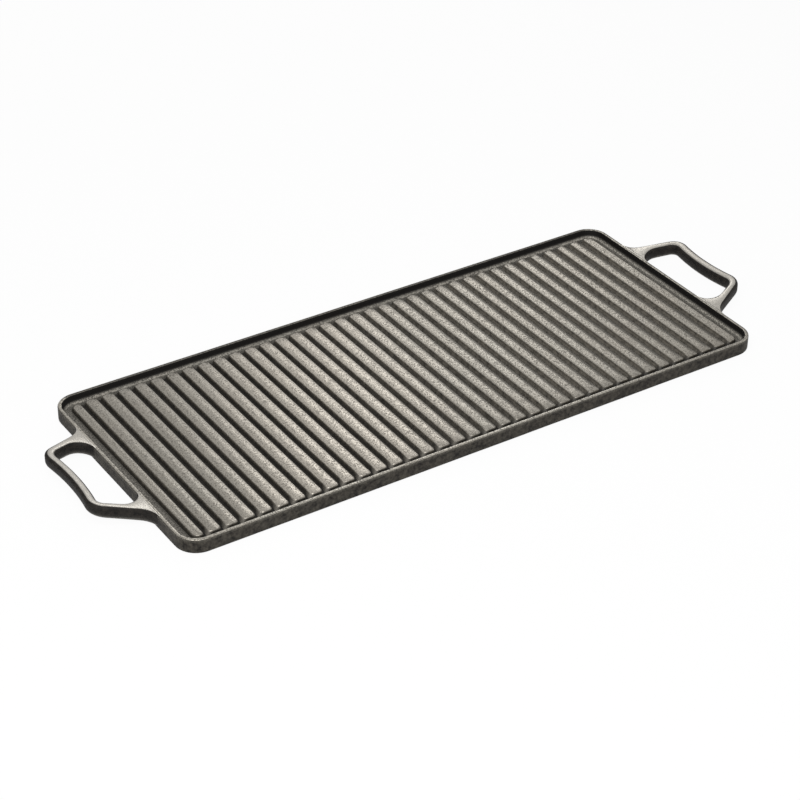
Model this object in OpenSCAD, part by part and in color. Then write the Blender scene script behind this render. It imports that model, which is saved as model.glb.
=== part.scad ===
// Cast-iron camp griddle plate: a shallow ribbed pan with a raised rim and a loop handle at each end.
// Millimetres. X runs along the plate, Y from front to back and Z up.
// The origin lies on the underside, below the middle of the plate.

/* [Plate] */
// Length of the plate without its handles
plate_l = 470; // [300:1:600]
// Depth of the plate from front to back
plate_w = 196; // [150:1:300]
// Height of the plate to the top of the rim
plate_h = 11; // [10:0.1:16]
// Radius of the plate's outer corners, seen from above
corner_r = 16; // [8:0.5:30]
// Thickness of the floor that carries the rim and the ribs
floor_t = 4.6; // [3:0.1:5.6]
// Rounding of the plate's bottom edge
foot_r = 1.5; // [0.5:0.1:2.5]

/* [Rim] */
// Width of the flat land on top of the rim
rim_w = 2.7; // [2:0.1:6]
// Draft of the rim's inner wall, from the land down to the floor
rim_draft = 0.8; // [0.2:0.1:2]
// Rounding of the rim's outer top edge
rim_edge_r = 0.6; // [0.2:0.1:1.2]

/* [Ribs] */
// Width across the top of a rib
rib_w = 8.15; // [6.5:0.05:12]
// Width of the groove between two ribs, at their tops
groove_w = 4.5; // [3:0.1:8]
// How far the rib tops lie below the top of the rim
rib_drop = 3; // [1:0.1:4.5]
// Draft of a rib's flank, from its top down to the floor
rib_draft = 0.5; // [0.2:0.1:1.2]
// Rise of a rib's top from its shoulders to its middle
rib_crown = 0.2; // [0.05:0.05:0.5]
// Rounding of a rib's nose, seen from above
rib_nose_r = 2.8; // [1:0.1:3]
// Rounding of the outer corners of the two end ribs, seen from above
end_corner_r = 4.5; // [2:0.1:6]
// Least width of an end rib, which takes up what the even pattern leaves
end_rib_min = 5; // [5:0.1:8]
// Width of the gutter between an end rib and the rim
side_gutter = 7.5; // [3:0.1:20]
// Width of the gutter between the rib noses and the rim
front_gutter = 5.4; // [3:0.1:20]

/* [Handles] */
// Distance from the plate's end to the centre line of the grip, at its middle
grip_out = 28.7; // [26:0.1:50]
// Length of the grip between its two bends
grip_l = 54.5; // [45:0.5:80]
// How far the grip's middle bows in towards the plate
grip_bow = 2.2; // [0.5:0.1:4]
// Width of the handle's bar, seen from above
bar_w = 7.7; // [7:0.1:10]
// Thickness of the handle's bar
bar_t = 9.4; // [7:0.1:9.8]
// Rounding of the bar's edges
bar_edge_r = 3.2; // [1:0.1:3.4]
// Radius of the bend between grip and leg, on the centre line
bend_r = 9.4; // [7:0.1:12]
// Angle by which each leg splays out towards the plate, in degrees
leg_splay = 25.5; // [15:0.5:35]
// Height that the handle gains from the plate's end to the grip
handle_rise = 5.5; // [1:0.1:10]
// Fillet between a leg's outer side and the plate's end
root_outer_r = 15; // [6:0.5:18]
// Fillet between a leg's inner side and the plate's end
root_inner_r = 11.8; // [4:0.1:13]
// How far the fillets dip into what they join, so that they have no feather edge
root_sink = 0.5; // [0.2:0.1:0.8]

/* [Hidden] */
$fn = 64;
// Overlap of solids that are cut or joined
over = 1;

rib_top = plate_h - rib_drop;
rim_foot_w = rim_w + rim_draft;
rib_l = plate_w - 2 * (rim_foot_w + front_gutter);
field_l = plate_l - 2 * (rim_foot_w + side_gutter + rib_draft);
pitch = rib_w + groove_w;
inner_count = floor((field_l - groove_w - 2 * end_rib_min) / pitch);
rib_count = inner_count + 2;
end_rib_w = (field_l - groove_w - inner_count * pitch) / 2;
// Room that a rib's nose outline leaves beside the foot of its flanks
nose_room = 0.3;

grip_r = (pow(grip_l / 2, 2) + pow(grip_bow, 2)) / (2 * grip_bow);
grip_angle = asin(grip_l / 2 / grip_r);
// How far the straight bars run on into the bends, and how much thinner the bends are for that
bar_lap = 0.4;
bend_ease = 0.05;
lap_angle = asin(bar_lap / grip_r);
// How far the root's web stays below the bar's top and above its underside
web_ease = 0.4;
handle_tilt = asin(handle_rise / grip_out);
bend_centre = [
    grip_out + grip_bow - bend_r * cos(grip_angle),
    grip_l / 2 + bend_r * sin(grip_angle)
];
leg_end = bend_centre + bend_r * [sin(leg_splay), cos(leg_splay)];
leg_l = leg_end.x / cos(leg_splay);
leg_y = leg_end.y + leg_end.x * tan(leg_splay);
handle_top = plate_h - rim_edge_r;
outer_centre = fillet_centre(root_outer_r, 1);
inner_centre = fillet_centre(root_inner_r, -1);

// Point on a leg's centre line, counted outwards from the plate's end
function leg_point(along) = [along * cos(leg_splay), leg_y - along * sin(leg_splay)];

// How far along the leg the fillet on one side of it begins: side is 1 for the outer side, -1 for the inner
function fillet_along(r, side) =
    (r - root_sink - side * (bar_w / 2 + r - root_sink) * sin(leg_splay)) / cos(leg_splay);

function fillet_centre(r, side) =
    leg_point(fillet_along(r, side))
    + side * (bar_w / 2 + r - root_sink) * [sin(leg_splay), cos(leg_splay)];

function rib_name(i) = str("rib_", i < 10 ? "0" : "", i);

// Middle of the i-th rib along X, counted from 1 at the left end
function rib_x(i) =
    i == 1 ? (end_rib_w - field_l) / 2
    : i == rib_count ? (field_l - end_rib_w) / 2
    : end_rib_w + groove_w + (i - 2) * pitch + (rib_w - field_l) / 2;

// Sweeps a profile round the plate's edge. The profile's X is 0 at the outer wall and negative inside it.
module around_edge() {
    straight_l = plate_l - 2 * corner_r;
    straight_w = plate_w - 2 * corner_r;
    for (side = [0:3]) {
        to_end = side % 2 == 0;
        rotate([0, 0, 90 * side]) {
            translate([(to_end ? plate_l : plate_w) / 2, 0, 0])
                rotate([90, 0, 0])
                    linear_extrude(to_end ? straight_w : straight_l, center = true) children();
            translate([(to_end ? straight_l : straight_w) / 2, (to_end ? straight_w : straight_l) / 2, 0])
                rotate_extrude(angle = 90) translate([corner_r, 0]) children();
        }
    }
}

// The slab from the bench to the floor of the pan, with a rounded bottom edge
module base_plate() {
    color("#4b4844") {
        around_edge() {
            translate([-corner_r, 0]) square([corner_r - foot_r, floor_t]);
            translate([-corner_r, foot_r]) square([corner_r, floor_t - foot_r]);
            translate([-foot_r, foot_r]) circle(foot_r);
        }
        translate([corner_r - plate_l / 2, corner_r - plate_w / 2, 0])
            cube([plate_l - 2 * corner_r, plate_w - 2 * corner_r, floor_t]);
    }
}

// The raised wall round the pan, with a flat land and a drafted inner side
module rim() {
    color("#8d8880") around_edge() {
        polygon([
            [0, floor_t],
            [0, plate_h - rim_edge_r],
            [-rim_edge_r, plate_h - rim_edge_r],
            [-rim_edge_r, plate_h],
            [-rim_w, plate_h],
            [-rim_foot_w, floor_t]
        ]);
        translate([-rim_edge_r, plate_h - rim_edge_r]) circle(rim_edge_r);
    }
}

// Outline of a rib from above, with its own corner radius on the left and on the right side
module rib_outline(w, left_r, right_r) {
    translate([left_r - w / 2, -rib_l / 2]) square([w - left_r - right_r, rib_l]);
    translate([-w / 2, left_r - rib_l / 2]) square([left_r, rib_l - 2 * left_r]);
    translate([w / 2 - right_r, right_r - rib_l / 2]) square([right_r, rib_l - 2 * right_r]);
    for (end = [-1, 1]) {
        translate([left_r - w / 2, end * (rib_l / 2 - left_r)]) circle(left_r);
        translate([w / 2 - right_r, end * (rib_l / 2 - right_r)]) circle(right_r);
    }
}

// One rib: drafted flanks, a slightly crowned top and rounded noses
module rib(i) {
    first = i == 1;
    last = i == rib_count;
    w = first || last ? end_rib_w : rib_w;
    foot_w = w + 2 * rib_draft;
    outline_w = foot_w + 2 * nose_room;
    outer_r = min(end_corner_r, outline_w - rib_nose_r - nose_room);
    color("#a8a299") translate([rib_x(i), 0, 0]) intersection() {
        rotate([90, 0, 0]) linear_extrude(rib_l + 2 * over, center = true) polygon([
            [-foot_w / 2, floor_t],
            [-w / 2, rib_top - rib_crown],
            [0, rib_top],
            [w / 2, rib_top - rib_crown],
            [foot_w / 2, floor_t]
        ]);
        translate([0, 0, floor_t - over]) linear_extrude(rib_top - floor_t + 2 * over)
            rib_outline(outline_w, first ? outer_r : rib_nose_r, last ? outer_r : rib_nose_r);
    }
}

// Cross-section of the handle's bar, with its top at zero, drawn in by ease all round
module bar_section(ease = 0) {
    edge_r = bar_edge_r - ease;
    translate([ease - bar_w / 2, bar_edge_r - bar_t]) square([bar_w - 2 * ease, bar_t - 2 * bar_edge_r]);
    translate([bar_edge_r - bar_w / 2, ease - bar_t]) square([bar_w - 2 * bar_edge_r, bar_t - 2 * ease]);
    for (x = [-1, 1], z = [bar_edge_r - bar_t, -bar_edge_r])
        translate([x * (bar_w / 2 - bar_edge_r), z]) circle(edge_r);
}

// The flared web at a leg's root, with a concave fillet on each side of the leg
module root_web() {
    translate([0, 0, web_ease - bar_t]) linear_extrude(bar_t - 2 * web_ease) difference() {
        polygon([
            [-over, outer_centre.y],
            leg_point(fillet_along(root_outer_r, 1)),
            leg_point(fillet_along(root_inner_r, -1)),
            [-over, inner_centre.y]
        ]);
        translate(outer_centre) circle(root_outer_r);
        translate(inner_centre) circle(root_inner_r);
    }
}

// One leg with its root and the bend to the grip, from the plate's end, which is at x = 0
module handle_leg() {
    translate(bend_centre) rotate([0, 0, -grip_angle])
        rotate_extrude(angle = 90 - leg_splay + grip_angle) translate([bend_r, 0]) bar_section(bend_ease);
    translate([0, leg_y, 0]) rotate([0, 0, -leg_splay])
        translate([-bar_w, 0, 0]) rotate([90, 0, 90]) linear_extrude(leg_l + bar_w + bar_lap) bar_section();
    root_web();
}

// The bowed grip with a leg at each side, tilted up and cut flat at the plate's end
module handle() {
    reach = grip_out + grip_bow + bar_w;
    difference() {
        rotate([0, -handle_tilt, 0]) {
            translate([grip_out + grip_r, 0, 0]) rotate([0, 0, 180 - grip_angle - lap_angle])
                rotate_extrude(angle = 2 * (grip_angle + lap_angle)) translate([grip_r, 0]) bar_section();
            for (side = [0, 1]) mirror([0, side, 0]) handle_leg();
        }
        translate([-reach, -plate_w / 2, -reach]) cube([reach, plate_w, 2 * reach]);
    }
}

module right_handle() {
    color("#97918a") translate([plate_l / 2, 0, handle_top]) handle();
}

module left_handle() {
    mirror([1, 0, 0]) right_handle();
}

base_plate();
rim();
for (i = [1:rib_count]) rib(i);
left_handle();
right_handle();
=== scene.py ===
import math

import bmesh
import bpy
from mathutils import Matrix, Quaternion, Vector


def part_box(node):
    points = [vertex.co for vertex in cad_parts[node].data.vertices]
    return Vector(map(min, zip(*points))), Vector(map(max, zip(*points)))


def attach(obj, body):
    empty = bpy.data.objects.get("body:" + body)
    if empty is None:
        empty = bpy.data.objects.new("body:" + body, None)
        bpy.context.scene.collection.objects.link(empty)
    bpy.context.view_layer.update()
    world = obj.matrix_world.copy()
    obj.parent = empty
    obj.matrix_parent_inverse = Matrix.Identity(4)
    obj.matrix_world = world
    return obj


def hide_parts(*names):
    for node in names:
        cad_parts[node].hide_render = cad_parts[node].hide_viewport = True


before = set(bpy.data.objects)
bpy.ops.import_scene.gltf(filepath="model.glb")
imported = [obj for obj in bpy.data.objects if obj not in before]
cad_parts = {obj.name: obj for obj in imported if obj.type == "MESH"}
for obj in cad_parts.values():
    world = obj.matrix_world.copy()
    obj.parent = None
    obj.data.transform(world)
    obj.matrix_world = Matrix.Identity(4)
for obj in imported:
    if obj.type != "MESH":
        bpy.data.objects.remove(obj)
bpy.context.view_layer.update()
scene = bpy.context.scene
scene.view_settings.view_transform = "Standard"

# Places taken from the frame
plateLow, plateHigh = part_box("base_plate")
ribLow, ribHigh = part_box("rib_02")
ribRow = (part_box("rib_36")[1][0], ribHigh[1])  # half the length and depth of the field of ribs
floorZ = plateHigh[2]
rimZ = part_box("rim")[1][2]
ribZ = ribHigh[2]


def mm(length):
    return length / 1000.0


# Camera, set up as the photograph was taken
photo = {
    "imagePx": 800,
    "focalPx": 2254.4,
    "sensorMm": 36.0,
    "azimuth": -33.59,
    "elevation": 33.49,
    "roll": 0.833,
    "distance": 1599.0,  # to the point looked at
    "asideRight": -8.8,  # that point, from the middle of the plate's underside
    "asideUp": -13.7,
}


def addCamera():
    a = math.radians(photo["azimuth"])
    e = math.radians(photo["elevation"])
    r = math.radians(photo["roll"])
    back = Vector((math.sin(a) * math.cos(e), -math.cos(a) * math.cos(e), math.sin(e)))
    level = Vector((math.cos(a), math.sin(a), 0))
    upright = back.cross(level)
    right = math.cos(r) * level + math.sin(r) * upright
    up = math.cos(r) * upright - math.sin(r) * level
    eye = mm(photo["asideRight"]) * right + mm(photo["asideUp"]) * up + mm(photo["distance"]) * back
    data = bpy.data.cameras.new("camera")
    data.sensor_width = photo["sensorMm"]
    data.lens = photo["focalPx"] * photo["sensorMm"] / photo["imagePx"]
    camera = bpy.data.objects.new("camera", data)
    scene.collection.objects.link(camera)
    camera.matrix_world = Matrix((right, up, back)).transposed().to_4x4()
    camera.location = eye
    scene.camera = camera


addCamera()
print("camera set")


# Small helpers for modelling by hand
def deselectAll():
    if bpy.context.mode != "OBJECT":
        bpy.ops.object.mode_set(mode="OBJECT")
    bpy.ops.object.select_all(action="DESELECT")


def makeActive(piece):
    deselectAll()
    piece.select_set(True)
    bpy.context.view_layer.objects.active = piece


def editMode(piece):
    makeActive(piece)
    bpy.ops.object.mode_set(mode="EDIT")
    bpy.ops.mesh.select_all(action="DESELECT")


def objectMode():
    bpy.ops.object.mode_set(mode="OBJECT")


def pick(piece, kind, test):  # selects the vertices, edges or faces that pass a test
    bpy.ops.mesh.select_mode(type=kind)
    bpy.ops.mesh.select_all(action="DESELECT")
    mesh = bmesh.from_edit_mesh(piece.data)
    group = {"VERT": mesh.verts, "EDGE": mesh.edges, "FACE": mesh.faces}[kind]
    for item in group:
        if test(item):
            item.select_set(True)
    mesh.select_flush_mode()
    bmesh.update_edit_mesh(piece.data)


def near(value, target, within=mm(0.01)):
    return abs(value - target) < within


def facesUp(face):
    return face.normal.z > 0.9


def isSteep(face):
    return face.normal.z < 0.5


def isUpright(edge):
    a, b = (v.co for v in edge.verts)
    return near(a.x, b.x) and near(a.y, b.y)


def startBlock(name, low, high):  # a block between two corners, with its place in its mesh
    deselectAll()
    bpy.ops.mesh.primitive_cube_add(size=1)
    piece = bpy.context.object
    piece.name = name
    piece.data.name = name
    piece.scale = [b - a for a, b in zip(low, high)]
    piece.location = [(a + b) / 2 for a, b in zip(low, high)]
    bpy.ops.object.transform_apply(location=True, rotation=True, scale=True)
    return piece


def bevelPicked(width, segments):  # a round edge
    bpy.ops.mesh.bevel(offset=width, segments=segments, affect="EDGES", profile=0.5)


def bisectAll(place, normal):
    bpy.ops.mesh.select_all(action="SELECT")
    bpy.ops.mesh.bisect(plane_co=place, plane_no=normal)


def cutAcross(axis, low, high, spacing):  # even cuts across the piece, so that it can be made uneven
    count = max(1, round((high - low) / spacing))
    normal = [0, 0, 0]
    normal[axis] = 1
    for i in range(1, count):
        place = [0, 0, 0]
        place[axis] = low + (high - low) * i / count
        bisectAll(place, normal)


casting = {
    "waveDetail": 2,
    "smoothAngle": 40.0,  # edges sharper than this stay sharp
}


def makeUneven(piece, waveMm, depthMm):  # the soft unevenness that a sand mould leaves
    makeActive(piece)
    waves = bpy.data.textures.new(piece.name + "Waves", "CLOUDS")
    waves.noise_scale = mm(waveMm)
    waves.noise_depth = casting["waveDetail"]
    uneven = piece.modifiers.new("uneven", "DISPLACE")
    uneven.texture = waves
    uneven.texture_coords = "LOCAL"
    uneven.strength = mm(depthMm) * 2  # half of it to each side
    uneven.mid_level = 0.5
    bpy.ops.object.modifier_apply(modifier=uneven.name)


def finishPiece(piece, material, nodes):
    makeActive(piece)
    bpy.ops.object.shade_smooth_by_angle(angle=math.radians(casting["smoothAngle"]))
    piece.data.materials.clear()
    piece.data.materials.append(material)
    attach(piece, "root")
    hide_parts(*nodes)


# Small helpers for materials
mixShare, mixA, mixB, mixOut = 0, 6, 7, 2  # places of a Mix node's sockets for colours


def hexColor(code):  # sRGB hex to the linear colour that Blender works in
    values = [int(code[i:i + 2], 16) / 255 for i in (1, 3, 5)]
    linear = [v / 12.92 if v <= 0.04045 else ((v + 0.055) / 1.055) ** 2.4 for v in values]
    return (*linear, 1.0)


def perMm(size):  # texture scale that gives a pattern of this size in millimetres
    return 1000.0 / size


def emptyTree(owner):  # the node tree of a material or world, cleared
    owner.use_nodes = True
    owner.node_tree.nodes.clear()
    return owner.node_tree


def addNode(tree, kind, settings=None, links=None):
    node = tree.nodes.new(kind)
    for key, value in (settings or {}).items():
        if isinstance(key, int) or key in node.inputs:
            node.inputs[key].default_value = value
        else:
            setattr(node, key, value)
    for key, source in (links or {}).items():
        tree.links.new(source, node.inputs[key])
    return node


# Iron: sand-cast and seasoned, so a matt, grainy dark skin, with grey bare metal where it is rubbed; on
# upward faces that bare metal is also painted top light and sheen
iron = {
    "gritMm": 0.95,  # sand grain, drawn coarser than it is so that it shows
    "gritDetail": 5.0,
    "gritRough": 0.72,
    "gritRange": (0.41, 0.59),  # where most values of the noise lie
    "pitMm": 3.2,
    "pitDetail": 5.0,
    "pitRough": 0.65,
    "pitRange": (0.35, 0.65),
    "patchMm": 42.0,
    "patchDetail": 4.0,
    "patchRough": 0.5,
    "metalGain": 1.5,  # half rubbed iron already mirrors more than it scatters
    "roughSkin": 0.62,
    "roughRubbed": 0.24,
    "bumpStrength": 0.5,
    "bumpMm": 0.04,
    "paintedLightFrom": -110.0,  # along the plate, painted light in the grooves grows from here
    "paintedLightTo": 140.0,
    "paintedLightLeast": 0.12,
    "noseFrom": 2.0,  # from the ribs' front ends, over which the painted light in the grooves fades in
    "noseTo": 7.0,
    "spotLeast": 0.45,
    "spotMost": 1.25,
}


def startIron(name, look):  # the places, patterns and plain colours that a piece's iron is mixed from
    material = bpy.data.materials.new(name)
    tree = emptyTree(material)
    place = addNode(tree, "ShaderNodeTexCoord")
    atPlace = {"Vector": place.outputs["Object"]}
    spot = addNode(tree, "ShaderNodeSeparateXYZ", None, atPlace)
    facing = addNode(tree, "ShaderNodeSeparateXYZ", None, {"Vector": place.outputs["Normal"]})
    base = {
        "material": material,
        "tree": tree,
        "place": place.outputs["Object"],
        "normal": place.outputs["Normal"],
        "up": facing.outputs["Z"],
        "x": spot.outputs["X"],
        "y": spot.outputs["Y"],
        "z": spot.outputs["Z"],
    }
    for pattern in ("grit", "pit", "patch"):
        noise = addNode(tree, "ShaderNodeTexNoise", {
            "Scale": perMm(iron[pattern + "Mm"]),
            "Detail": iron[pattern + "Detail"],
            "Roughness": iron[pattern + "Rough"],
        }, atPlace)
        base[pattern] = noise.outputs["Fac"]
    low, high = iron["pitRange"]
    mottle = addNode(tree, "ShaderNodeMapRange", {"From Min": low, "From Max": high}, {"Value": base["pit"]})
    base["skin"] = addNode(tree, "ShaderNodeMix", {
        "data_type": "RGBA",
        mixA: hexColor(look["skinDark"]),
        mixB: hexColor(look["skinLight"]),
    }, {mixShare: mottle.outputs["Result"]}).outputs[mixOut]
    base["bare"] = addNode(tree, "ShaderNodeMix", {
        "data_type": "RGBA",
        mixA: hexColor(look["bareWarm"]),
        mixB: hexColor(look["bareCool"]),
    }, {mixShare: base["patch"]}).outputs[mixOut]
    return base


def outsideBox(base, half, cornerR, soft, most=1.0):  # 0 within a rounded rectangle seen from above
    tree = base["tree"]
    flat = addNode(tree, "ShaderNodeVectorMath", {"operation": "MULTIPLY", 1: (1, 1, 0)}, {0: base["place"]})
    size = addNode(tree, "ShaderNodeVectorMath", {"operation": "ABSOLUTE"}, {0: flat.outputs["Vector"]})
    past = addNode(tree, "ShaderNodeVectorMath", {
        "operation": "SUBTRACT",
        1: (half[0] - mm(cornerR), half[1] - mm(cornerR), 0),
    }, {0: size.outputs["Vector"]})
    inCorner = addNode(tree, "ShaderNodeVectorMath", {"operation": "MAXIMUM", 1: (0, 0, 0)},
                       {0: past.outputs["Vector"]})
    away = addNode(tree, "ShaderNodeVectorMath", {"operation": "LENGTH"}, {0: inCorner.outputs["Vector"]})
    return addNode(tree, "ShaderNodeMapRange", {
        "From Min": mm(cornerR) - mm(soft),
        "From Max": mm(cornerR) + mm(soft),
        "To Max": most,
    }, {"Value": away.outputs["Value"]}).outputs["Result"]


def rubAndTopLight(base, look, upward, otherPlaces=()):  # on faces that look up and stand high, or lie elsewhere: wear together with painted top light
    tree = base["tree"]
    faceUp = addNode(tree, "ShaderNodeMapRange", {
        "From Min": look["rubAndLightFrom"],
        "From Max": look["rubAndLightTo"],
        "interpolation_type": "SMOOTHSTEP",
    }, {"Value": upward})
    where = addNode(tree, "ShaderNodeMapRange", {
        "From Min": look["rubAndLightLowZ"],
        "From Max": look["rubAndLightHighZ"],
        "To Max": look["rubAndLight"],
    }, {"Value": base["z"]}).outputs["Result"]
    for other in otherPlaces:
        most = addNode(tree, "ShaderNodeMath", {"operation": "MAXIMUM"}, {0: where, 1: other})
        where = most.outputs["Value"]
    return addNode(tree, "ShaderNodeMath", {"operation": "MULTIPLY"},
                   {0: faceUp.outputs["Result"], 1: where}).outputs["Value"]


# painted light: a share that grows along the plate towards the right end
def paintedLightToRight(base):
    return addNode(base["tree"], "ShaderNodeMapRange", {
        "From Min": mm(iron["paintedLightFrom"]),
        "From Max": mm(iron["paintedLightTo"]),
        "To Min": iron["paintedLightLeast"],
        "interpolation_type": "SMOOTHSTEP",
    }, {"Value": base["x"]}).outputs["Result"]


def wearSpotsAndLight(base, lightToRight):  # spots of wear in the grooves, lighter towards the right end as painted light
    tree = base["tree"]
    offNose = addNode(tree, "ShaderNodeMapRange", {
        "From Min": ribLow[1] + mm(iron["noseFrom"]),
        "From Max": ribLow[1] + mm(iron["noseTo"]),
    }, {"Value": base["y"]})
    there = addNode(tree, "ShaderNodeMath", {"operation": "MULTIPLY"},
                    {0: lightToRight, 1: offNose.outputs["Result"]})
    low, high = iron["pitRange"]
    spots = addNode(tree, "ShaderNodeMapRange", {
        "From Min": low,
        "From Max": high,
        "To Min": iron["spotLeast"],
        "To Max": iron["spotMost"],
    }, {"Value": base["pit"]})
    return addNode(tree, "ShaderNodeMath", {"operation": "MULTIPLY", "use_clamp": True},
                   {0: there.outputs["Value"], 1: spots.outputs["Result"]}).outputs["Value"]


def finishIron(base, look, wearAndLight, skin, bare):  # bare iron shows through the skin where it is worn and where light is painted
    tree = base["tree"]
    low, high = iron["gritRange"]
    grain = addNode(tree, "ShaderNodeMapRange", {
        "From Min": low,
        "From Max": high,
        "To Min": look["grainLow"],
        "To Max": look["grainHigh"],
    }, {"Value": base["grit"]})
    wearAndLightShare = addNode(tree, "ShaderNodeMath", {"operation": "MULTIPLY", "use_clamp": True},
                     {0: wearAndLight, 1: grain.outputs["Result"]}).outputs["Value"]
    color = addNode(tree, "ShaderNodeMix", {"data_type": "RGBA"}, {mixShare: wearAndLightShare, mixA: skin, mixB: bare})
    metal = addNode(tree, "ShaderNodeMath", {
        "operation": "MULTIPLY",
        "use_clamp": True,
        1: iron["metalGain"],
    }, {0: wearAndLightShare})
    rough = addNode(tree, "ShaderNodeMapRange", {
        "To Min": iron["roughSkin"],
        "To Max": iron["roughRubbed"],
    }, {"Value": wearAndLightShare})
    bump = {"Strength": iron["bumpStrength"], "Distance": mm(iron["bumpMm"])}
    grains = addNode(tree, "ShaderNodeBump", bump, {"Height": base["grit"]})
    hollows = addNode(tree, "ShaderNodeBump", bump,
                      {"Height": base["pit"], "Normal": grains.outputs["Normal"]})
    shader = addNode(tree, "ShaderNodeBsdfPrincipled", {"Specular IOR Level": look["gloss"]}, {
        "Base Color": color.outputs[mixOut],
        "Metallic": metal.outputs["Value"],
        "Roughness": rough.outputs["Result"],
        "Normal": hollows.outputs["Normal"],
    })
    addNode(tree, "ShaderNodeOutputMaterial", None, {"Surface": shader.outputs["BSDF"]})
    return base["material"]


# Pan: the slab and its rim in one, hollowed from a block
pan = {
    "cornerR": 16.0,
    "cornerSteps": 14,
    "landW": 2.7,
    "draft": 0.8,
    "outerEdge": 1.0,
    "outerSteps": 5,
    "innerEdge": 0.35,
    "innerSteps": 3,
    "innerFoot": 3.6,
    "footSteps": 7,
    "bottomEdge": 1.4,
    "bottomSteps": 4,
    "cutSpacing": 9.0,
    "waveMm": 38.0,
    "waveDepth": 0.08,
    "skinDark": "#15120f",
    "skinLight": "#47433c",
    "shadedInsideSkin": "#0f0d0b",  # painted shade: the hollow of the pan is darker than the outer skin
    "litWornSkin": "#625e57",  # painted light on the floor towards the right end, in spots of wear
    "bareWarm": "#9c968c",
    "bareCool": "#a3a097",
    "gloss": 0.18,
    "grainLow": 0.3,  # how much of the skin is rubbed off in the hollows and on the grains
    "grainHigh": 1.35,
    "rubAndLight": 1.0,
    "rubAndLightFrom": 0.4,  # upward part of the face's normal, from no bare iron to the most, for wear and painted top light
    "rubAndLightTo": 0.92,
    "rubAndLightLowZ": floorZ + mm(0.8),
    "rubAndLightHighZ": rimZ - mm(1.5),
    # painted light on the gutter's floor
    "gutterLight": 0.42,
    "gutterR": 2.0,
    "gutterSoft": 1.0,
    "filletLight": 0.85,  # painted light on the fillet along the wall's foot
    "footIn": 5.7,
    "footSoft": 0.6,
    "backBareShare": 0.22,  # along the back the land keeps this share of its bare iron, and so of its painted top light, by the distance from the outline
    "backFrom": 4.0,
    "backTo": 2.0,
    "wallIn": 2.3,  # from the outline inwards, where the black, painted shade of the inside starts
    "wallSoft": 0.3,
    "edgeHighlight": 0.18,  # painted highlight on the outer wall's upper edge, by the depth below the land
    "edgeFrom": 2.4,
    "edgeTo": 0.8,
}


def pastOutline(base, inset, soft, most=1.0):  # beyond the plate's outline drawn in by some millimetres
    half = (plateHigh[0] - mm(inset), plateHigh[1] - mm(inset))
    return outsideBox(base, half, pan["cornerR"] - inset, soft, most)


# Black and matt within, which is painted shade, grainy grey outside; bare iron on the land, wear together
# with painted top light, less of it along the back; painted light in the gutter and on the wall's foot, and a
# painted highlight on the outer top edge
def panIron():
    base = startIron("seasonedPanIron", pan)
    tree = base["tree"]
    gutter = outsideBox(base, ribRow, pan["gutterR"], pan["gutterSoft"], pan["gutterLight"])
    wallFoot = pastOutline(base, pan["footIn"], pan["footSoft"], pan["filletLight"])
    # bare iron on upward faces: wear together with painted top light
    onTop = rubAndTopLight(base, pan, base["up"], [gutter, wallFoot])
    back = addNode(tree, "ShaderNodeMapRange", {
        "From Min": plateHigh[1] - mm(pan["backFrom"]),
        "From Max": plateHigh[1] - mm(pan["backTo"]),
        "To Min": 1.0,
        "To Max": pan["backBareShare"],
    }, {"Value": base["y"]})
    lessAtBack = addNode(tree, "ShaderNodeMath", {"operation": "MULTIPLY"},
                         {0: onTop, 1: back.outputs["Result"]})
    outside = pastOutline(base, pan["wallIn"], pan["wallSoft"])
    edge = addNode(tree, "ShaderNodeMapRange", {
        "From Min": rimZ - mm(pan["edgeFrom"]),
        "From Max": rimZ - mm(pan["edgeTo"]),
        "To Max": pan["edgeHighlight"],
    }, {"Value": base["z"]})
    outerEdge = addNode(tree, "ShaderNodeMath", {"operation": "MULTIPLY"},
                        {0: edge.outputs["Result"], 1: outside})
    wearAndLight = addNode(tree, "ShaderNodeMath", {"operation": "MAXIMUM"},
                      {0: lessAtBack.outputs["Value"], 1: outerEdge.outputs["Value"]})
    litWornFloor = addNode(tree, "ShaderNodeMath", {"operation": "SUBTRACT", "use_clamp": True}, {
        0: wearSpotsAndLight(base, paintedLightToRight(base)),
        1: outsideBox(base, ribRow, pan["gutterR"], pan["gutterSoft"]),
    })
    # painted shade: inside the outline the skin is darker
    inside = addNode(tree, "ShaderNodeMix", {
        "data_type": "RGBA",
        mixA: hexColor(pan["shadedInsideSkin"]),
        mixB: hexColor(pan["litWornSkin"]),
    }, {mixShare: litWornFloor.outputs["Value"]})
    skin = addNode(tree, "ShaderNodeMix", {"data_type": "RGBA"},
                   {mixShare: outside, mixA: inside.outputs[mixOut], mixB: base["skin"]})
    return finishIron(base, pan, wearAndLight.outputs["Value"], skin.outputs[mixOut], base["bare"])


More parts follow.
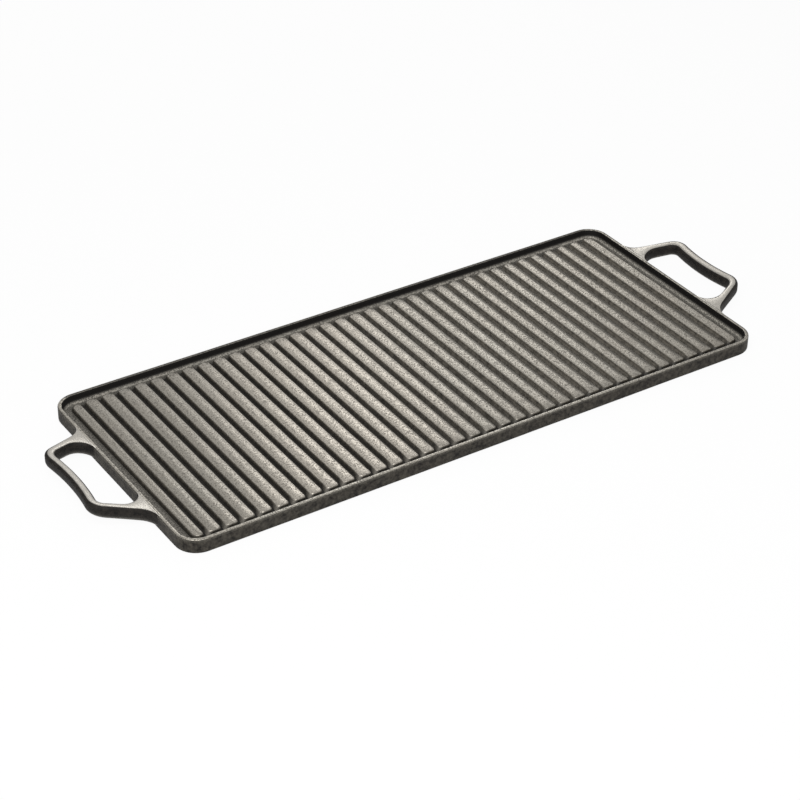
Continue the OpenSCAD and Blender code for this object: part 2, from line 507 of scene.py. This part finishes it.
def makePan():
    piece = startBlock("griddlePan", plateLow, (plateHigh[0], plateHigh[1], rimZ))
    editMode(piece)
    pick(piece, "EDGE", isUpright)
    bevelPicked(mm(pan["cornerR"]), pan["cornerSteps"])
    pick(piece, "FACE", facesUp)
    bpy.ops.mesh.inset(thickness=mm(pan["landW"]), depth=0)
    bpy.ops.mesh.extrude_region_move(TRANSFORM_OT_translate={"value": (0, 0, floorZ - rimZ)})
    shrink = [1 - 2 * mm(pan["draft"]) / (side - 2 * mm(pan["landW"]))
              for side in (plateHigh[0] - plateLow[0], plateHigh[1] - plateLow[1])]
    bpy.ops.transform.resize(value=(shrink[0], shrink[1], 1), center_override=(0, 0, 0))
    radius = mm(pan["cornerR"])

    def isOuter(v):  # on the plate's outer wall
        x = abs(v.co.x) - plateHigh[0] + radius
        y = abs(v.co.y) - plateHigh[1] + radius
        return near(math.hypot(max(x, 0), max(y, 0)), radius, mm(0.1))

    def loopAt(z, outer):
        return lambda edge: all(near(v.co.z, z) and isOuter(v) == outer for v in edge.verts)

    def isLandEdge(edge):  # where the land turns down into the pan
        beside = edge.link_faces
        return loopAt(rimZ, False)(edge) and any(map(facesUp, beside)) and any(map(isSteep, beside))

    pick(piece, "EDGE", loopAt(floorZ, False))
    bevelPicked(mm(pan["innerFoot"]), pan["footSteps"])
    pick(piece, "EDGE", loopAt(plateLow[2], True))
    bevelPicked(mm(pan["bottomEdge"]), pan["bottomSteps"])
    pick(piece, "EDGE", loopAt(rimZ, True))
    bevelPicked(mm(pan["outerEdge"]), pan["outerSteps"])
    pick(piece, "EDGE", isLandEdge)
    bevelPicked(mm(pan["innerEdge"]), pan["innerSteps"])
    cutAcross(0, plateLow[0], plateHigh[0], mm(pan["cutSpacing"]))
    cutAcross(1, plateLow[1], plateHigh[1], mm(pan["cutSpacing"]))
    objectMode()
    makeUneven(piece, pan["waveMm"], pan["waveDepth"])
    finishPiece(piece, panIron(), ["base_plate", "rim"])


makePan()
print("pan made")


# Ribs: one is modelled for each width and copied along the plate
rib = {
    "draft": 0.8,
    "wider": 0.6,  # than the solid, each side, for the rounded edges
    "noseDraft": 0.6,
    "frontR": 2.6,
    "backR": 1.4,
    "endCornerR": 4.5,
    "cornerSteps": 5,
    "cornerReach": 1.0,  # upright edges start within this of the rib's end
    "topEdge": 0.9,
    "topSteps": 4,
    "topReach": 0.6,  # how far below the top its edges lie once it leans
    "sharpEdge": 0.5,  # least angle of an edge to be rounded, in radians
    "crown": 0.34,
    "crownCuts": (-0.25, 0, 0.25),  # shares of the width
    "crownFall": 0.8,  # from the middle to the sides
    "lean": 5.0,
    "flareL": 7.0,  # where a groove runs out at the front, the flank to its right spreads
    "flareW": 2.1,
    "sunk": 0.3,  # into the floor
    "cutSpacing": 9.0,
    "waveMm": 14.0,
    "waveDepth": 0.1,
    # lighter than the pan's skin: painted light on the ribs' flanks
    "skinDark": "#1c1915",
    "skinLight": "#575146",
    "shadedFootSkin": "#13110e",  # painted shade low in the grooves
    "shadeFrom": 1.2,
    "shadeTo": 2.6,
    # painted light low in the grooves towards the right end, in spots of wear
    "litWornSkin": "#767168",
    "litFlareSkin": "#5f5b54",  # painted light on the slanted faces where the grooves run out, fading towards the right end
    "flareSlope": (0.3, 0.55),  # upward part of the face's normal
    "flareFrom": 5.0,
    "flareTo": 8.0,
    "flareLeft": 1.1,
    "flareRight": 0.1,
    "bareWarm": "#8e887f",
    "bareCool": "#95928a",
    "bandBare": "#a8a298",  # lighter bare iron in a band across the plate
    "bandAt": 75.0,  # left of the middle
    "bandSlant": 0.35,
    "bandFrom": 25.0,
    "bandTo": 115.0,
    "gloss": 0.3,
    "grainLow": 0.34,
    "grainHigh": 1.33,
    "rubAndLight": 1.0,
    "rubAndLightFrom": 0.45,
    "rubAndLightTo": 0.95,
    "rubAndLightLowZ": floorZ,
    "rubAndLightHighZ": ribZ - mm(0.8),
}


# Grey, grainy metal on the tops, wear together with painted top light; dark flanks, black feet of painted
# shade, and painted light at the groove ends and low in the grooves towards the right
def ribIron():
    base = startIron("rubbedAndLitRibIron", rib)
    tree = base["tree"]
    lightToRight = paintedLightToRight(base)
    # painted shade: darker skin low on the flanks
    aboveShade = addNode(tree, "ShaderNodeMapRange", {
        "From Min": floorZ + mm(rib["shadeFrom"]),
        "From Max": floorZ + mm(rib["shadeTo"]),
    }, {"Value": base["z"]})
    shadedFoot = addNode(tree, "ShaderNodeMix", {
        "data_type": "RGBA",
        mixA: hexColor(rib["shadedFootSkin"]),
        mixB: hexColor(rib["litWornSkin"]),
    }, {mixShare: wearSpotsAndLight(base, lightToRight)})
    flank = addNode(tree, "ShaderNodeMix", {"data_type": "RGBA"},
                    {mixShare: aboveShade.outputs["Result"], mixA: shadedFoot.outputs[mixOut], mixB: base["skin"]})
    # painted light on the slanted groove ends, fading towards the right end
    low, high = rib["flareSlope"]
    slope = addNode(tree, "ShaderNodeMapRange", {"From Min": low, "From Max": high}, {"Value": base["up"]})
    atFront = addNode(tree, "ShaderNodeMapRange", {
        "From Min": ribLow[1] + mm(rib["flareFrom"]),
        "From Max": ribLow[1] + mm(rib["flareTo"]),
        "To Min": 1.0,
        "To Max": 0.0,
    }, {"Value": base["y"]})
    slanted = addNode(tree, "ShaderNodeMath", {"operation": "MULTIPLY"},
                      {0: slope.outputs["Result"], 1: atFront.outputs["Result"]})
    toLeft = addNode(tree, "ShaderNodeMapRange", {
        "To Min": rib["flareLeft"],
        "To Max": rib["flareRight"],
    }, {"Value": lightToRight})
    litGrooveEnd = addNode(tree, "ShaderNodeMath", {"operation": "MULTIPLY", "use_clamp": True},
                        {0: slanted.outputs["Value"], 1: toLeft.outputs["Result"]})
    skin = addNode(tree, "ShaderNodeMix", {"data_type": "RGBA", mixB: hexColor(rib["litFlareSkin"])},
                   {mixShare: litGrooveEnd.outputs["Value"], mixA: flank.outputs[mixOut]})
    bandLine = addNode(tree, "ShaderNodeMath", {
        "operation": "MULTIPLY_ADD",
        1: -rib["bandSlant"],
        2: mm(rib["bandAt"]),
    }, {0: base["y"]})
    aside = addNode(tree, "ShaderNodeMath", {"operation": "ADD"},
                    {0: base["x"], 1: bandLine.outputs["Value"]})
    away = addNode(tree, "ShaderNodeMath", {"operation": "ABSOLUTE"}, {0: aside.outputs["Value"]})
    band = addNode(tree, "ShaderNodeMapRange", {
        "From Min": mm(rib["bandFrom"]),
        "From Max": mm(rib["bandTo"]),
        "To Min": 1.0,
        "To Max": 0.0,
        "interpolation_type": "SMOOTHSTEP",
    }, {"Value": away.outputs["Value"]})
    bare = addNode(tree, "ShaderNodeMix", {"data_type": "RGBA", mixB: hexColor(rib["bandBare"])},
                   {mixShare: band.outputs["Result"], mixA: base["bare"]})
    # bare iron on upward faces: wear together with painted top light
    wearAndLight = rubAndTopLight(base, rib, base["up"])
    return finishIron(base, rib, wearAndLight, skin.outputs[mixOut], bare.outputs[mixOut])


def makeRib(name, low, high, roundSide=0):  # roundSide: the side with the rounder corners, on an end rib
    low = (low[0] - mm(rib["wider"]), low[1], low[2])
    high = (high[0] + mm(rib["wider"]), high[1], high[2])
    width = high[0] - low[0] - 2 * mm(rib["draft"])  # of the top
    length = high[1] - low[1]
    middle = (low[0] + high[0]) / 2
    crown = 0 if roundSide > 0 else rib["crown"]
    top = high[2] - mm(crown)

    def cornerR(side, end):
        if side == roundSide:
            return rib["endCornerR"]
        return rib["frontR"] if end < 0 else rib["backR"]

    def isCorner(edge, side, end):  # an upright edge at one side of one end
        a, b = (v.co for v in edge.verts)
        isTall = abs(a.z - b.z) > (top - low[2]) / 2
        isAside = min((a.x - middle) * side, (b.x - middle) * side) > width / 3
        return isTall and isAside and near(a.y * end, length / 2, mm(rib["cornerReach"]))

    def isTopEdge(edge):
        isHigh = all(v.co.z > top - mm(rib["topReach"]) for v in edge.verts)
        return isHigh and edge.calc_face_angle(0) > rib["sharpEdge"]

    piece = startBlock(name, (low[0], low[1], low[2] - mm(rib["sunk"])), (high[0], high[1], top))
    editMode(piece)
    pick(piece, "FACE", facesUp)
    bpy.ops.transform.resize(
        value=(width / (high[0] - low[0]), 1 - 2 * mm(rib["noseDraft"]) / length, 1),
        center_override=(middle, 0, 0))
    if roundSide > 0:  # the rib at the right end is flat and leans to the left
        bpy.ops.transform.rotate(
            value=math.radians(rib["lean"]), orient_axis="Y", center_override=(middle, 0, top))
    if roundSide >= 0:  # a groove lies to the left
        bisectAll((0, low[1] + mm(rib["flareL"]), 0), (0, 1, 0))
        pick(piece, "VERT", lambda v: v.co.x < middle and near(v.co.y, low[1]) and v.co.z < low[2])
        bpy.ops.transform.translate(value=(-mm(rib["flareW"]), 0, 0))
    for side in (-1, 1):
        for end in (-1, 1):
            pick(piece, "EDGE", lambda edge: isCorner(edge, side, end))
            bevelPicked(mm(cornerR(side, end)), rib["cornerSteps"])
    pick(piece, "EDGE", isTopEdge)
    bevelPicked(mm(rib["topEdge"]), rib["topSteps"])
    for share in rib["crownCuts"]:
        x = middle + share * width
        bisectAll((x, 0, 0), (1, 0, 0))
        pick(piece, "VERT", lambda v: near(v.co.x, x) and v.co.z > top - mm(0.1))
        bpy.ops.transform.translate(value=(0, 0, mm(crown) * (1 - 2 * abs(share) * rib["crownFall"])))
    cutAcross(1, low[1], high[1], mm(rib["cutSpacing"]))
    objectMode()
    return piece


def makeRibs():
    material = ribIron()

    def finishRib(piece, node):
        makeUneven(piece, rib["waveMm"], rib["waveDepth"])
        finishPiece(piece, material, [node])

    nodes = sorted(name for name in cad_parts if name.startswith("rib_"))
    first, last = nodes[0], nodes[-1]
    finishRib(makeRib("cookingRib01", *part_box(first), -1), first)
    finishRib(makeRib("cookingRib%02d" % len(nodes), *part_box(last), 1), last)
    pattern = makeRib("cookingRib02", ribLow, ribHigh)
    copies = []
    for i, node in enumerate(nodes[1:-1], start=2):
        piece = pattern
        if i > 2:
            piece = pattern.copy()
            piece.data = pattern.data.copy()
            piece.name = "cookingRib%02d" % i
            scene.collection.objects.link(piece)
            piece.data.transform(Matrix.Translation((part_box(node)[0][0] - ribLow[0], 0, 0)))
        copies.append((piece, node))
    for piece, node in copies:
        finishRib(piece, node)


makeRibs()
print("ribs made")


# Handles: a rounded bar drawn along its path in plan, from root to root, and tilted up
handle = {
    "gripOut": 29.1,
    "gripL": 54.5,
    "gripBow": 2.2,
    "barW": 7.7,
    "barT": 9.4,
    "edgeR": 3.0,
    "edgeSteps": 6,
    "bendR": 9.4,
    "legSplay": 25.5,
    "rise": 5.3,
    "rootOuterR": 16.0,
    "rootInnerR": 12.3,
    "rootSink": 0.55,
    "rootIn": 2.0,  # how far the root reaches into the rim
    "topLift": 0.19,  # over the rim's rounded edge, so that the root runs out on its land
    "filletSteps": 8,
    "bendSteps": 8,
    "gripSteps": 8,
    "waveMm": 16.0,
    "waveDepth": 0.1,
    # darker than the pan's skin: painted shade on the bars' sides
    "skinDark": "#090807",
    "skinLight": "#282420",
    "bareWarm": "#a6a199",
    "bareCool": "#aca9a2",
    "gloss": 0.18,
    "grainLow": 0.58,
    "grainHigh": 1.2,
    "rubAndLight": 1.2,
    "inwardTilt": 14.0,  # the pale band on top, wear together with a painted highlight, lies tilted towards the plate
    "rubAndLightFrom": 0.87,
    "rubAndLightTo": 0.985,
    "rubAndLightLowZ": 0,
    "rubAndLightHighZ": mm(4),
    # painted reflection of the pale floor on the bars' underside
    "underReflection": 0.5,
    "underTilt": -0.65,  # upward part of the face's normal where the painted reflection on the underside is strongest
}


# Near black, with a pale band along the top, wear together with a painted highlight, and a painted reflection
# of the floor on the underside
def handleIron():
    base = startIron("rubbedAndLitHandleIron", handle)
    tree = base["tree"]
    tilt = math.radians(handle["inwardTilt"])
    end = addNode(tree, "ShaderNodeMath", {"operation": "SIGN"}, {0: base["x"]})
    inward = addNode(tree, "ShaderNodeMath", {"operation": "MULTIPLY", 1: -math.sin(tilt)},
                     {0: end.outputs["Value"]})
    axis = addNode(tree, "ShaderNodeCombineXYZ", {"Z": math.cos(tilt)}, {"X": inward.outputs["Value"]})
    upward = addNode(tree, "ShaderNodeVectorMath", {"operation": "DOT_PRODUCT"},
                     {0: base["normal"], 1: axis.outputs["Vector"]})
    under = addNode(tree, "ShaderNodeMapRange", {
        "From Min": 0.0,
        "From Max": handle["underTilt"],
        "To Max": handle["underReflection"],
    }, {"Value": base["up"]})
    # pale band on top, wear with a painted highlight, and a painted reflection underneath
    wearAndLight = addNode(tree, "ShaderNodeMath", {"operation": "MAXIMUM"}, {
        0: rubAndTopLight(base, handle, upward.outputs["Value"]),
        1: under.outputs["Result"],
    })
    return finishIron(base, handle, wearAndLight.outputs["Value"], base["skin"], base["bare"])


def handleStations():  # pairs of points, inner and outer, from the plate's end to the grip's middle
    h = handle
    splay = math.radians(h["legSplay"])
    along = Vector((math.cos(splay), -math.sin(splay)))
    across = Vector((math.sin(splay), math.cos(splay)))
    gripR = ((h["gripL"] / 2) ** 2 + h["gripBow"] ** 2) / (2 * h["gripBow"])
    gripTurn = math.asin(h["gripL"] / 2 / gripR)
    bendAt = Vector((h["gripOut"] + h["gripBow"] - h["bendR"] * math.cos(gripTurn),
                     h["gripL"] / 2 + h["bendR"] * math.sin(gripTurn)))
    legEnd = bendAt + h["bendR"] * across
    root = Vector((0, legEnd.y + legEnd.x * math.tan(splay)))
    half = h["barW"] / 2

    def filletAt(radius, side):
        reach = radius - h["rootSink"]
        return root + along * ((reach - side * (half + reach) * math.sin(splay)) / math.cos(splay)) \
            + across * side * (half + reach)

    outerAt = filletAt(h["rootOuterR"], 1)
    innerAt = filletAt(h["rootInnerR"], -1)

    def onArc(centre, radius, turn):
        return centre + radius * Vector((math.cos(turn), math.sin(turn)))

    stations = [(Vector((-h["rootIn"], innerAt.y)), Vector((-h["rootIn"], outerAt.y)))]
    for i in range(h["filletSteps"] + 1):
        share = i / h["filletSteps"]
        inner = math.pi - share * (math.pi / 2 + splay)
        outer = math.pi + share * (math.pi / 2 - splay)
        stations.append((onArc(innerAt, h["rootInnerR"], inner), onArc(outerAt, h["rootOuterR"], outer)))
    for i in range(h["bendSteps"] + 1):
        turn = math.pi / 2 - splay - i / h["bendSteps"] * (math.pi / 2 - splay + gripTurn)
        stations.append((onArc(bendAt, h["bendR"] - half, turn), onArc(bendAt, h["bendR"] + half, turn)))
    gripAt = Vector((h["gripOut"] + gripR, 0))
    for i in range(1, h["gripSteps"] + 1):
        turn = math.pi - gripTurn * (1 - i / h["gripSteps"])
        stations.append((onArc(gripAt, gripR + half, turn), onArc(gripAt, gripR - half, turn)))
    return [[Vector((mm(p.x), mm(p.y), 0)) for p in pair] for pair in stations]


def barSection(inner, outer):  # the bar's rounded outline between two points
    across = (outer - inner).normalized()
    width = (outer - inner).length
    thick = mm(handle["barT"])
    r = mm(handle["edgeR"])
    slope = handle["rise"] / handle["gripOut"]
    corners = ((width - r, -r, 0), (r, -r, 90), (r, r - thick, 180), (width - r, r - thick, 270))
    points = []
    for aside, height, start in corners:
        for i in range(handle["edgeSteps"] + 1):
            turn = math.radians(start + 90 * i / handle["edgeSteps"])
            place = inner + across * (aside + r * math.cos(turn))
            # sides stay upright along the rise, as a mould leaves them
            place.z = height + r * math.sin(turn) + place.x * slope
            points.append(place)
    return points


def makeHandle():
    half = handleStations()
    otherHalf = [[Vector((p.x, -p.y, 0)) for p in pair] for pair in reversed(half[:-1])]
    sections = [barSection(*pair) for pair in half + otherHalf]
    deselectAll()
    bpy.ops.mesh.primitive_circle_add(vertices=len(sections[0]), fill_type="NGON")
    piece = bpy.context.object
    piece.name = "rightHandle"
    editMode(piece)
    mesh = bmesh.from_edit_mesh(piece.data)
    for v, place in zip(mesh.verts, sections[0]):
        v.co = place
    bmesh.update_edit_mesh(piece.data)
    bpy.ops.mesh.select_all(action="SELECT")
    for last, section in zip(sections, sections[1:]):
        bpy.ops.mesh.extrude_region_move(TRANSFORM_OT_translate={"value": (0, 0, 0)})
        mesh = bmesh.from_edit_mesh(piece.data)
        for v in [v for v in mesh.verts if v.select]:
            v.co = section[min(range(len(last)), key=lambda k: (v.co - last[k]).length)]
        bmesh.update_edit_mesh(piece.data)
    bpy.ops.mesh.select_all(action="SELECT")
    bpy.ops.mesh.normals_make_consistent(inside=False)
    objectMode()
    piece.data.transform(Matrix.Translation((plateHigh[0], 0, rimZ + mm(handle["topLift"]))))
    return piece


def makeHandles():
    right = makeHandle()
    left = right.copy()
    left.data = right.data.copy()
    left.name = "leftHandle"
    scene.collection.objects.link(left)
    left.data.transform(Matrix.Diagonal((-1, 1, 1, 1)))
    editMode(left)
    bpy.ops.mesh.select_all(action="SELECT")
    bpy.ops.mesh.remove_doubles(threshold=mm(0.001))
    bpy.ops.mesh.normals_make_consistent(inside=False)
    objectMode()
    material = handleIron()
    for piece, node in ((right, "right_handle"), (left, "left_handle")):
        makeUneven(piece, handle["waveMm"], handle["waveDepth"])
        finishPiece(piece, material, [node])


makeHandles()
print("handles made")


# Studio: a pale floor, a strip lamp at the back right, a soft box at the front left and two grey cards behind
studio = {
    "floorSize": 8.0,  # metres, as all lengths here
    "floorDrop": 0.0003,  # below the plate's underside
    "floorColor": "#ffffff",
    "floorWhite": 0.94,
    "worldLight": 0.5,
    "stripAt": (0.96, 1.4, 1.12),
    "stripSize": (0.3, 0.85),
    "stripTurn": -45.0,
    "stripPower": 1.9,
    "sideAt": (-0.55, -0.6, 0.95),
    "sideSize": (0.9, 0.9),
    "sidePower": 9.0,
    "cardColor": "#8c8c8c",
    "cardLift": 0.001,
    "rightCard": ((0.6, 0.65), (0.97, 0.21), 0.42),  # from, to and height
    "leftCard": ((-0.9, 0.18), (-0.28, 0.68), 0.47),
}


def seesBackground(tree):  # camera, glossy and transmission rays see the white background
    path = addNode(tree, "ShaderNodeLightPath")
    mirror = addNode(tree, "ShaderNodeMath", {"operation": "MAXIMUM"},
                     {0: path.outputs["Is Camera Ray"], 1: path.outputs["Is Glossy Ray"]})
    return addNode(tree, "ShaderNodeMath", {"operation": "MAXIMUM"},
                   {0: mirror.outputs["Value"], 1: path.outputs["Is Transmission Ray"]}).outputs["Value"]


# White and matt, and it still takes the plate's shadow
def palePaper():
    material = bpy.data.materials.new("palePaper")
    tree = emptyTree(material)
    paper = addNode(tree, "ShaderNodeBsdfDiffuse", {"Color": hexColor(studio["floorColor"])})
    white = addNode(tree, "ShaderNodeEmission", {"Strength": 1.0})
    share = addNode(tree, "ShaderNodeMath", {"operation": "MULTIPLY", 1: studio["floorWhite"]},
                    {0: seesBackground(tree)})
    both = addNode(tree, "ShaderNodeMixShader", None,
                   {0: share.outputs["Value"], 1: paper.outputs["BSDF"], 2: white.outputs["Emission"]})
    addNode(tree, "ShaderNodeOutputMaterial", None, {"Surface": both.outputs["Shader"]})
    return material


# An even, dull grey in what the metal mirrors
def greyCard():
    material = bpy.data.materials.new("greyCard")
    tree = emptyTree(material)
    paper = addNode(tree, "ShaderNodeBsdfDiffuse", {"Color": hexColor(studio["cardColor"])})
    addNode(tree, "ShaderNodeOutputMaterial", None, {"Surface": paper.outputs["BSDF"]})
    return material


def addFloor():
    deselectAll()
    bpy.ops.mesh.primitive_plane_add(size=studio["floorSize"], location=(0, 0, -studio["floorDrop"]))
    floor = bpy.context.object
    floor.name = "paleFloor"
    floor.data.materials.append(palePaper())


def addCard(name, material):  # out of the camera's sight
    start, end, height = studio[name]
    start, end = Vector(start), Vector(end)
    middle = (start + end) / 2
    deselectAll()
    bpy.ops.mesh.primitive_plane_add(size=1, location=(middle.x, middle.y, height / 2 + studio["cardLift"]))
    card = bpy.context.object
    card.name = name
    card.scale = ((end - start).length, height, 1)
    card.rotation_euler = (math.pi / 2, 0, math.atan2(end.y - start.y, end.x - start.x))
    bpy.ops.object.transform_apply(location=True, rotation=True, scale=True)
    card.data.materials.append(material)
    card.visible_camera = False


def addLamp(name, place, size, power, turn=0):  # an area lamp that faces the middle of the plate
    lamp = bpy.data.lights.new(name, "AREA")
    lamp.shape = "RECTANGLE"
    lamp.size, lamp.size_y = size
    lamp.energy = power
    box = bpy.data.objects.new(name, lamp)
    scene.collection.objects.link(box)
    box.location = place
    facing = (-Vector(place)).to_track_quat("-Z", "Y")
    box.rotation_euler = (facing @ Quaternion((0, 0, 1), math.radians(turn))).to_euler()


def addLight():
    world = bpy.data.worlds.new("studioWorld")
    scene.world = world
    tree = emptyTree(world)
    level = addNode(tree, "ShaderNodeMapRange", {"To Min": studio["worldLight"], "To Max": 1.0},
                    {"Value": seesBackground(tree)})
    sky = addNode(tree, "ShaderNodeBackground", {"Color": (1, 1, 1, 1)},
                  {"Strength": level.outputs["Result"]})
    addNode(tree, "ShaderNodeOutputWorld", None, {"Surface": sky.outputs["Background"]})
    addLamp("stripBox", studio["stripAt"], studio["stripSize"], studio["stripPower"], studio["stripTurn"])
    addLamp("sideBox", studio["sideAt"], studio["sideSize"], studio["sidePower"])


addFloor()
cardPaper = greyCard()
addCard("rightCard", cardPaper)
addCard("leftCard", cardPaper)
addLight()
print("studio made")
